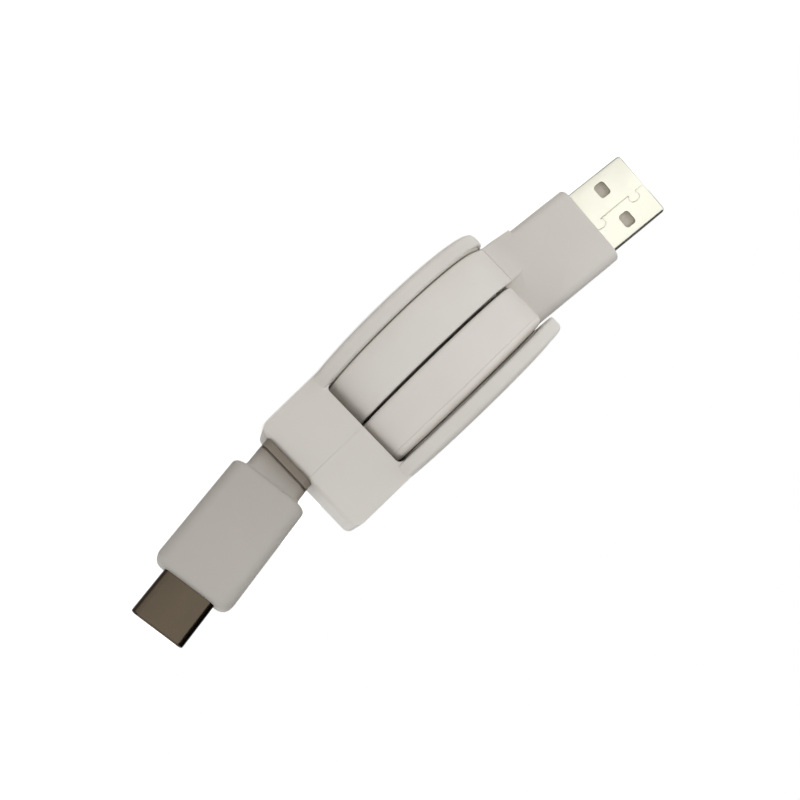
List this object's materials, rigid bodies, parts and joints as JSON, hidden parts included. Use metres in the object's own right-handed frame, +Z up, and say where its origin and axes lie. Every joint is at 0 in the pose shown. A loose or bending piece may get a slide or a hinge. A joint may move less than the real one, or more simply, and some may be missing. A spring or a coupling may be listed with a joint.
{
  "type": "retractable charging cable",
  "caption": "Spring-retractable charging cable: a round reel with a wound flat cable, a USB-A plug docked between its discs and a USB-C plug hanging at its mouth.",
  "frame": {"origin": "on the reel's axis, in the flat face of the lower cap that the reel rests on", "axes": "+Z up along the reel's axis, +X toward the mouth and the USB-C plug, -X toward the USB-A plug, -Y toward the front"},
  "size_m": [0.105, 0.037, 0.0205],
  "materials": {
    "housing_plastic": "satin white ABS",
    "cap_plastic": "satin white ABS",
    "spool_plastic": "satin white acetal",
    "cable_jacket": "smooth white TPE jacket",
    "grip_plastic": "fine-textured white TPE",
    "inner_plastic": "natural polyethylene",
    "tongue_plastic": "off-white glass-filled plastic",
    "black_plastic": "black moulded plastic",
    "nickel_plate": "bright nickel-plated steel",
    "dark_plate": "nickel-plated steel with a dark bronze reflection",
    "screw_steel": "zinc-plated and polished steel",
    "spring_steel": "blued spring steel strip",
    "gold_plate": "gold-plated copper alloy",
    "board": "green solder mask"
  },
  "bodies": {
    "housing": {"housing_lower": "housing_plastic", "housing_upper": "housing_plastic", "cap_lower": "cap_plastic", "cap_upper": "cap_plastic", "centre_screw": "screw_steel", "spiral_spring": "spring_steel", "ratchet_ball": "screw_steel", "cable_lead_a": "cable_jacket", "cable_lead_c": "cable_jacket"},
    "spool": {"spool": "spool_plastic", "spring_cover": "spool_plastic", "cable_coil": "cable_jacket"},
    "plug_a": {"a_grip": "grip_plastic", "a_inner_mould": "inner_plastic", "a_shell": "nickel_plate", "a_tongue": "tongue_plastic", "a_contact_power": "gold_plate", "a_contact_data_minus": "gold_plate", "a_contact_data_plus": "gold_plate", "a_contact_ground": "gold_plate"},
    "plug_c": {"c_grip": "grip_plastic", "c_inner_mould": "inner_plastic", "c_shell": "dark_plate", "c_insulator": "black_plastic", "c_contacts_front": "gold_plate", "c_contacts_back": "gold_plate", "c_latch_spring": "screw_steel", "c_card": "board", "c_resistor": "black_plastic"}
  },
  "joints": [
    {"name": "spool_turn", "type": "hinge", "parent": "housing", "child": "spool", "pos_m": [0, 0, 0.01025], "axis": [0, 0, -1], "range_deg": [0, 1650]},
    {"name": "plug_a_pull", "type": "slide", "parent": "housing", "child": "plug_a", "axis": [-1, 0, 0], "range_m": [0, 0.32]},
    {"name": "plug_c_pull", "type": "slide", "parent": "housing", "child": "plug_c", "axis": [1, 0, 0], "range_m": [0, 0.32]}
  ],
  "couplings": [
    {"joint": "plug_a_pull", "follows": "spool_turn", "m_per_rad": 0.011},
    {"joint": "plug_c_pull", "follows": "spool_turn", "m_per_rad": 0.011}
  ]
}
